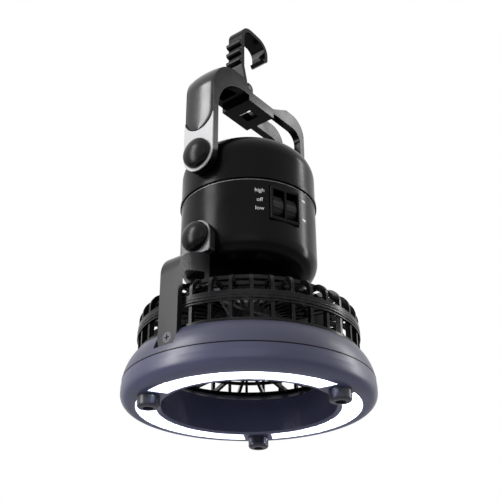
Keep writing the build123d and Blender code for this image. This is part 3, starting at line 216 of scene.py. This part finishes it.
def uneven(roughness, spread, least):
    """Lowest and highest roughness of a finish."""
    return max(least, roughness + spread[0]), roughness + spread[1]


def moulded(name, colour, roughness, specular=0.3, bump=0.04, worn_and_sheen=None):
    """Moulded plastic or rubber: grained skin, uneven gloss, lighter rubbed edges (on the cage
    also painted highlight).
    """
    material, tree, shader = new_material(name)
    skin = add_group(tree, GRAIN)
    wear = add_group(tree, WEAR)
    rubbed_and_sheen = worn_and_sheen or tuple(min(1.0, c * RUBBED_GAIN + RUBBED_LIFT) for c in colour)
    tint = blend(tree, wear.outputs["Mask"], colour, rubbed_and_sheen)
    spread = uneven(roughness, MOULDED_GLOSS, MOULDED_LEAST)
    gloss = remap(tree, skin.outputs["Patches"], source=PATCH_RANGE, target=spread)
    relief = tree.nodes.new("ShaderNodeBump")
    relief.inputs["Strength"].default_value = bump
    relief.inputs["Distance"].default_value = RELIEF_DEPTH
    shader.inputs["Specular IOR Level"].default_value = specular
    link = tree.links.new
    link(skin.outputs["Height"], relief.inputs["Height"])
    link(tint, shader.inputs["Base Color"])
    link(gloss, shader.inputs["Roughness"])
    link(relief.outputs["Normal"], shader.inputs["Normal"])
    return material


def metal(name, colour, roughness):
    """Plated or brushed metal with fine drawn lines."""
    material, tree, shader = new_material(name)
    shader.inputs["Metallic"].default_value = 1.0
    drawn = tree.nodes.new("ShaderNodeMapping")
    drawn.inputs["Scale"].default_value = DRAWN_STRETCH
    link = tree.links.new
    link(own_place(tree), drawn.inputs["Vector"])
    lines = noise(tree, drawn.outputs["Vector"], DRAWN_DETAIL)
    lines.inputs["Scale"].default_value = DRAWN_SCALE
    tint = blend(tree, lines.outputs["Fac"], shaded(colour, DRAWN_SHADE), colour)
    spread = uneven(roughness, METAL_GLOSS, METAL_LEAST)
    gloss = remap(tree, lines.outputs["Fac"], target=spread)
    link(tint, shader.inputs["Base Color"])
    link(gloss, shader.inputs["Roughness"])
    return material


def lit(name, colour, glow, strength):
    """A surface that glows, a little uneven from place to place."""
    material, tree, shader = new_material(name)
    shader.inputs["Roughness"].default_value = GLOW_ROUGHNESS
    shader.inputs["Emission Strength"].default_value = strength
    patches = add_group(tree, GRAIN).outputs["Patches"]
    for socket_name, bright in (("Base Color", colour), ("Emission Color", glow)):
        tint = blend(tree, patches, shaded(bright, GLOW_SHADE), bright)
        tree.links.new(tint, shader.inputs[socket_name])
    return material


def clear_lens(name):
    """Clear moulded lens, lit from behind."""
    material, tree, shader = new_material(name)
    shader.inputs["Base Color"].default_value = (*LENS_COLOUR, 1.0)
    shader.inputs["Transmission Weight"].default_value = LENS_CLEARNESS
    shader.inputs["IOR"].default_value = LENS_INDEX
    shader.inputs["Emission Color"].default_value = (*LED_WHITE, 1.0)
    shader.inputs["Emission Strength"].default_value = LENS_GLOW
    patches = add_group(tree, GRAIN).outputs["Patches"]
    gloss = remap(tree, patches, target=LENS_GLOSS)
    tree.links.new(gloss, shader.inputs["Roughness"])
    return material


# slot: finish (name, colour, roughness)
FINISHES = {
    # the blue in the ring shells' colour is painted glow of the LEDs over dark grey plastic
    "ring_shell": moulded(
        "satin_ring_plastic_painted_led_glow", (0.042, 0.044, 0.084), 0.38, specular=0.5, bump=0.05
    ),
    # the cage's light edge colour is rubbed wear and also painted highlight along the bars'
    # edges
    "cage": moulded(
        "cage_plastic_painted_edge_sheen", (0.003, 0.003, 0.004), 0.22, specular=0.16, worn_and_sheen=(0.12, 0.12, 0.13)
    ),
    "yoke": moulded("yoke_plastic", (0.006, 0.006, 0.008), 0.30, bump=0.02),
    "canister": moulded("gloss_canister_plastic", (0.002, 0.002, 0.0025), 0.24, specular=0.09),
    "handle": moulded(
        "gloss_handle_plastic", (0.0025, 0.0025, 0.003), 0.18, specular=0.09, bump=0.01
    ),
    "trim": moulded(
        "satin_trim", (0.42, 0.42, 0.43), 0.34, specular=0.5, worn_and_sheen=(0.6, 0.6, 0.62)
    ),
    "knob": moulded(
        "gloss_knob_plastic", (0.002, 0.002, 0.0025), 0.24, specular=0.16, bump=0.01
    ),
    "steel": metal("plated_steel", (0.60, 0.61, 0.63), 0.26),
    "dark_screw": metal("blackened_steel", (0.06, 0.06, 0.065), 0.36),
    "washer": moulded("washer_fibre", (0.010, 0.010, 0.010), 0.62, specular=0.15, bump=0.2),
    "foot": moulded("foot_rubber", (0.016, 0.016, 0.030), 0.30, specular=0.45),
    "lens": clear_lens("clear_lens"),
    "reflector": lit("white_reflector", (0.92, 0.94, 1.0), GLOW, 1.2),
    "led": lit("lit_led", (1.0, 1.0, 1.0), LED_WHITE, 22.0),
    "board": moulded("white_board", (0.80, 0.82, 0.84), 0.40, worn_and_sheen=(0.86, 0.87, 0.88)),
    "switch_board": moulded("green_board", (0.02, 0.16, 0.07), 0.38, worn_and_sheen=(0.10, 0.28, 0.16)),
    "rocker": moulded("rocker_plastic", (0.006, 0.006, 0.007), 0.28, specular=0.25, bump=0.06),
    "cell": metal("cell_jacket", (0.58, 0.58, 0.56), 0.32),
    "contact": metal("plated_contact", (0.78, 0.68, 0.44), 0.22),
    "motor": metal("motor_can", (0.60, 0.60, 0.60), 0.28),
    "fan": moulded("fan_plastic", (0.008, 0.008, 0.010), 0.24),
}

# pieces whose finish is not their slot's
NODE_FINISHES = {
    "ear_trims": moulded(
        "grey_ear_trim", (0.12, 0.12, 0.13), 0.32, specular=0.4, worn_and_sheen=(0.45, 0.45, 0.46)
    ),
    # the lower shell, nearer the LEDs, is bluer still: more painted LED glow over the same
    # plastic
    "ring_lower_shell": moulded(
        "lower_shell_plastic_painted_led_glow", (0.044, 0.047, 0.100), 0.36, specular=0.5, bump=0.05
    ),
    "hook_pin": FINISHES["dark_screw"],
}
for subpart in frame["record"]["subparts"]:
    finish = NODE_FINISHES.get(subpart["node"], FINISHES[subpart["material_slot"]])
    for holder in frame["nodes"][subpart["node"]].material_slots:
        holder.material = finish

# -------------------------------------------------------- printed marks beside the switches
PRINT = moulded("white_print", INK, 0.5, worn_and_sheen=RUBBED_INK)
INK_GAP = 0.05 * MM            # print over the canister's skin

LABELS = (("high", 125.8), ("off", 119.5), ("low", 113.8))     # word, height in mm
LABEL_ANGLE = -132.4
LABEL_SIZE = 3.6 * MM

MARK_HEIGHTS = (127.0, 114.0)  # mm
MARK_ANGLE = -89.4
MARK_SIZE = 3.0 * MM
MARK_CORNERS = 6
MARK_STRETCH = (1.3, 0.55, 1.0)
MARK_ROUND = 0.2 * MM          # rounding of its corners
MARK_ROUND_STEPS = 3
MARK_CUTS = 2                  # so that it bends round the canister


def skin_frame(angle, z):
    """Frame on the canister's skin: x to the right as read, y up, z outwards."""
    a = radians(angle)
    outwards = Vector((cos(a), sin(a), 0.0))
    along = Vector((-sin(a), cos(a), 0.0))
    skin = Matrix((along, Vector((0, 0, 1)), outwards)).transposed().to_4x4()
    skin.translation = outwards * (CAN_RADIUS + INK_GAP) + Vector((0, 0, z))
    return skin


def lay_on_canister(piece, name):
    """Makes a flat piece a mesh, lays it on the canister's skin and fastens it there."""
    bpy.ops.object.select_all(action="DESELECT")
    piece.select_set(True)
    bpy.context.view_layer.objects.active = piece
    if piece.type != "MESH":
        bpy.ops.object.convert(target="MESH")
        piece = bpy.context.object
    piece.name = name
    bpy.ops.object.transform_apply(location=True, rotation=True, scale=True)
    wrap = piece.modifiers.new("wrap", "SHRINKWRAP")
    wrap.target = frame["nodes"]["canister"]
    wrap.wrap_method = "NEAREST_SURFACEPOINT"
    wrap.wrap_mode = "OUTSIDE_SURFACE"
    wrap.offset = INK_GAP
    bpy.ops.object.modifier_apply(modifier="wrap")
    piece.data.materials.clear()
    piece.data.materials.append(PRINT)
    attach(piece, "canister")


for word, height in LABELS:
    bpy.ops.object.text_add()
    label = bpy.context.object
    label.data.body = word
    label.data.size = LABEL_SIZE
    label.data.align_x = "CENTER"
    label.data.align_y = "CENTER"
    label.matrix_world = skin_frame(LABEL_ANGLE, height * MM)
    lay_on_canister(label, f"label_{word}")

for number, height in enumerate(MARK_HEIGHTS):
    bpy.ops.mesh.primitive_circle_add(
        vertices=MARK_CORNERS, radius=MARK_SIZE / 2, fill_type="NGON"
    )
    mark = bpy.context.object
    bpy.ops.object.mode_set(mode="EDIT")
    bpy.ops.mesh.select_all(action="SELECT")
    bpy.ops.transform.resize(value=MARK_STRETCH, center_override=(0, 0, 0))
    bpy.ops.mesh.bevel(offset=MARK_ROUND, segments=MARK_ROUND_STEPS, affect="VERTICES")
    bpy.ops.mesh.subdivide(number_cuts=MARK_CUTS)
    bpy.ops.object.mode_set(mode="OBJECT")
    mark.matrix_world = skin_frame(MARK_ANGLE, height * MM)
    lay_on_canister(mark, f"mark_{number}")

# -------------------------------------------------------- parting lines and band ridges
# dark bead in the seam between the ring shells: painted shadow of the gap
PAINTED_SEAM_SHADOW = moulded("parting_shadow", (0.004, 0.004, 0.006), 0.5, specular=0.1)
# light grey bead on the black canister just under the cap's seam: painted highlight on the lip
PAINTED_RIM_HIGHLIGHT = moulded("parting_edge_painted_highlight", (0.16, 0.16, 0.17), 0.3, specular=0.4)
BEAD_POINTS = 192
BEAD_ROUND = 0.8               # rounding of a bead's edges, as a share of how far it stands out
BEAD_ROUND_STEPS = 2
BEAD_SMOOTH = radians(40)
SHADOW_BEAD = (0.7 * MM, 0.12 * MM)    # height of a bead, and how far it stands out
RIM_BEAD = (0.5 * MM, 0.16 * MM)
RIDGE_BEAD = (0.9 * MM, 0.25 * MM)
RIM_Z = CAN_SEAM_Z - 0.9 * MM
BAND_RIDGES = (45.9, 47.5, 49.1)       # heights in mm


def parting_line(name, radius, z, bead_size, material, body):
    """Thin rounded bead round the axis, with its middle at height z."""
    height, proud = bead_size
    bpy.ops.mesh.primitive_circle_add(vertices=BEAD_POINTS, radius=radius)
    bead = bpy.context.object
    bead.name = name
    bpy.ops.object.mode_set(mode="EDIT")
    bpy.ops.mesh.select_all(action="SELECT")
    bpy.ops.transform.translate(value=(0, 0, z - height / 2))
    bpy.ops.mesh.extrude_region_move(TRANSFORM_OT_translate={"value": (0, 0, height)})
    bpy.ops.object.mode_set(mode="OBJECT")
    wall = bead.modifiers.new("wall", "SOLIDIFY")
    wall.thickness = 2 * proud
    wall.offset = 0.0
    bpy.ops.object.modifier_apply(modifier="wall")
    soften = bead.modifiers.new("soften", "BEVEL")
    soften.width = proud * BEAD_ROUND
    soften.segments = BEAD_ROUND_STEPS
    bpy.ops.object.modifier_apply(modifier="soften")
    bpy.ops.object.shade_smooth_by_angle(angle=BEAD_SMOOTH)
    bead.data.materials.append(material)
    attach(bead, body)


parting_line(
    "ring_parting_shadow", SEAM_RADIUS, SEAM_Z, SHADOW_BEAD, PAINTED_SEAM_SHADOW, "head"
)
parting_line("canister_rim_painted_highlight", CAN_RADIUS, RIM_Z, RIM_BEAD, PAINTED_RIM_HIGHLIGHT, "canister")
for number, height in enumerate(BAND_RIDGES):
    parting_line(
        f"band_ridge_{number}",
        BAND_RADIUS,
        height * MM,
        RIDGE_BEAD,
        FINISHES["cage"],
        "head",
    )

# -------------------------------------------------------- grip pad
# A flat oval, creased at its crown, runs up the left arm and round the shoulder. Its lower end
# is rounded. It stands in for the solid pad, whose face is 0.05 mm further out.
PAD_FINISH = moulded(
    "gloss_pad_plastic", (0.003, 0.003, 0.0035), 0.16, specular=0.45, bump=0.02
)
PAD_HALF = 11.3 * MM           # half its width
PAD_PROUD = 1.75 * MM          # crown over the arm's outer face
PAD_POINTS = 96
PAD_CREASE = 0.5 * MM          # depth of the crease along the crown
PAD_CREASE_HALF = 0.05 * MM    # the crease takes the points this near the middle
PAD_BEND_STEPS = 24
PAD_FOOT_STEPS = 8
PAD_FOOT_TURN = 88             # just short of 90, where the foot would close to a line
PAD_FOOT_Z = PAD_BOTTOM + PAD_HALF
PAD_SMOOTH = radians(50)
SAME_HEIGHT = 0.01 * MM

bpy.ops.object.select_all(action="DESELECT")
bpy.ops.mesh.primitive_circle_add(vertices=PAD_POINTS, radius=1.0, fill_type="NOTHING")
pad = bpy.context.object
pad.name = "grip_pad"
bpy.ops.object.mode_set(mode="EDIT")
bpy.ops.mesh.select_all(action="SELECT")
bpy.ops.transform.resize(value=(PAD_PROUD, PAD_HALF, 1.0), center_override=(0, 0, 0))
bpy.ops.transform.translate(value=(-HANDLE_OUTER, 0, PAD_FOOT_Z))
bpy.ops.object.mode_set(mode="OBJECT")
for vertex in pad.data.vertices:
    vertex.select = abs(vertex.co.y) < PAD_CREASE_HALF and vertex.co.x < -HANDLE_OUTER
bpy.ops.object.mode_set(mode="EDIT")
bpy.ops.transform.translate(value=(PAD_CREASE, 0, 0))
bpy.ops.mesh.select_all(action="SELECT")
straight = LEFT_BEND_Z - PAD_BOTTOM - PAD_HALF
bpy.ops.mesh.extrude_region_move(TRANSFORM_OT_translate={"value": (0, 0, straight)})
bpy.ops.mesh.spin(
    steps=PAD_BEND_STEPS,
    angle=radians(90),
    center=(-HANDLE_OUTER + LEFT_BEND, 0, LEFT_BEND_Z),
    axis=(0, -1, 0),
)
bpy.ops.mesh.edge_face_add()
bpy.ops.object.mode_set(mode="OBJECT")
for vertex in pad.data.vertices:
    vertex.select = abs(vertex.co.z - PAD_FOOT_Z) < SAME_HEIGHT
for edge in pad.data.edges:
    edge.select = all(pad.data.vertices[v].select for v in edge.vertices)
bpy.ops.object.mode_set(mode="EDIT")
foot_turns = [radians(PAD_FOOT_TURN * s / PAD_FOOT_STEPS) for s in range(PAD_FOOT_STEPS + 1)]
for last_turn, turn in zip(foot_turns, foot_turns[1:]):
    drop = PAD_HALF * (sin(turn) - sin(last_turn))
    bpy.ops.mesh.extrude_region_move(TRANSFORM_OT_translate={"value": (0, 0, -drop)})
    bpy.ops.transform.resize(
        value=(1.0, cos(turn) / cos(last_turn), 1.0), center_override=(-HANDLE_OUTER, 0, 0)
    )
bpy.ops.mesh.edge_face_add()
bpy.ops.mesh.select_all(action="SELECT")
bpy.ops.mesh.normals_make_consistent(inside=False)
bpy.ops.object.mode_set(mode="OBJECT")
bpy.ops.object.shade_smooth_by_angle(angle=PAD_SMOOTH)
pad.data.materials.append(PAD_FINISH)
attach(pad, "bail")
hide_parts("handle_pad")

# -------------------------------------------------------- stage: pale floor, plain backdrop
FLOOR_Z = -0.60
FLOOR_SIZE = 12.0
FLOOR_COLOUR = (0.86, 0.86, 0.86)
FLOOR_ROUGHNESS = 0.8
WHITE = (1.0, 1.0, 1.0, 1.0)
SEEN_STRENGTH = 1.0            # backdrop as seen, mirrored or looked through
FILL_STRENGTH = 0.35           # backdrop as a light on matt surfaces

bpy.ops.mesh.primitive_plane_add(size=FLOOR_SIZE, location=(0, 0, FLOOR_Z))
floor = bpy.context.object
floor.name = "floor"
floor_material, _, floor_shader = new_material("pale_floor")
floor_shader.inputs["Base Color"].default_value = (*FLOOR_COLOUR, 1.0)
floor_shader.inputs["Roughness"].default_value = FLOOR_ROUGHNESS
floor.data.materials.append(floor_material)


def backdrop(tree, strength):
    """Shader socket of a plain white backdrop."""
    node = tree.nodes.new("ShaderNodeBackground")
    node.inputs["Color"].default_value = WHITE
    node.inputs["Strength"].default_value = strength
    return node.outputs["Background"]


world = bpy.context.scene.world or bpy.data.worlds.new("studio")
bpy.context.scene.world = world
world.use_nodes = True
sky = world.node_tree
sky.nodes.clear()
ray = sky.nodes.new("ShaderNodeLightPath").outputs
mirrored = combine(sky, "MAXIMUM", ray["Is Glossy Ray"], ray["Is Transmission Ray"])
seen = combine(sky, "MAXIMUM", mirrored, ray["Is Camera Ray"])
choose = sky.nodes.new("ShaderNodeMixShader")
out = sky.nodes.new("ShaderNodeOutputWorld")
sky.links.new(seen, choose.inputs["Fac"])
sky.links.new(backdrop(sky, FILL_STRENGTH), choose.inputs[1])
sky.links.new(backdrop(sky, SEEN_STRENGTH), choose.inputs[2])
sky.links.new(choose.outputs["Shader"], out.inputs["Surface"])

# -------------------------------------------------------- lamps
AIM = Vector((0.0, 0.0, 0.14))

# name, direction from the aim, distance, width, height, watts
LAMPS = (
    ("left_softbox", (-0.80, 0.42, 0.30), 1.1, 0.32, 1.1, 13.0),
    ("right_strip", (0.80, -0.62, 0.30), 1.2, 0.14, 1.0, 7.0),
    ("front_fill", (-0.80, -0.60, 0.10), 1.5, 1.0, 1.0, 2.0),
)
for name, direction, distance, width, height, power in LAMPS:
    away = Vector(direction).normalized()
    bpy.ops.object.light_add(type="AREA", location=AIM + away * distance)
    lamp = bpy.context.object
    lamp.name = name
    lamp.data.shape = "RECTANGLE"
    lamp.data.size = width
    lamp.data.size_y = height
    lamp.data.energy = power
    lamp.rotation_euler = away.to_track_quat("Z", "Y").to_euler()

# -------------------------------------------------------- camera
CAMERA_PLACE = Vector((-0.37508, -0.29951, -0.14004))
CAMERA_HEADING = (0.7826, 0.6225)
CAMERA_PITCH = radians(27.31)
CAMERA_ROLL = radians(0.23)
SENSOR_WIDTH = 36.0            # mm
FOCAL_LENGTH = 63.12           # mm
forward = Vector((
    CAMERA_HEADING[0] * cos(CAMERA_PITCH),
    CAMERA_HEADING[1] * cos(CAMERA_PITCH),
    sin(CAMERA_PITCH),
))
bpy.ops.object.camera_add(location=CAMERA_PLACE)
camera = bpy.context.object
aimed = Quaternion(forward, CAMERA_ROLL) @ forward.to_track_quat("-Z", "Y")
camera.rotation_euler = aimed.to_euler()
camera.data.sensor_width = SENSOR_WIDTH
camera.data.lens = FOCAL_LENGTH
bpy.context.scene.camera = camera
bpy.context.scene.view_settings.view_transform = "Standard"
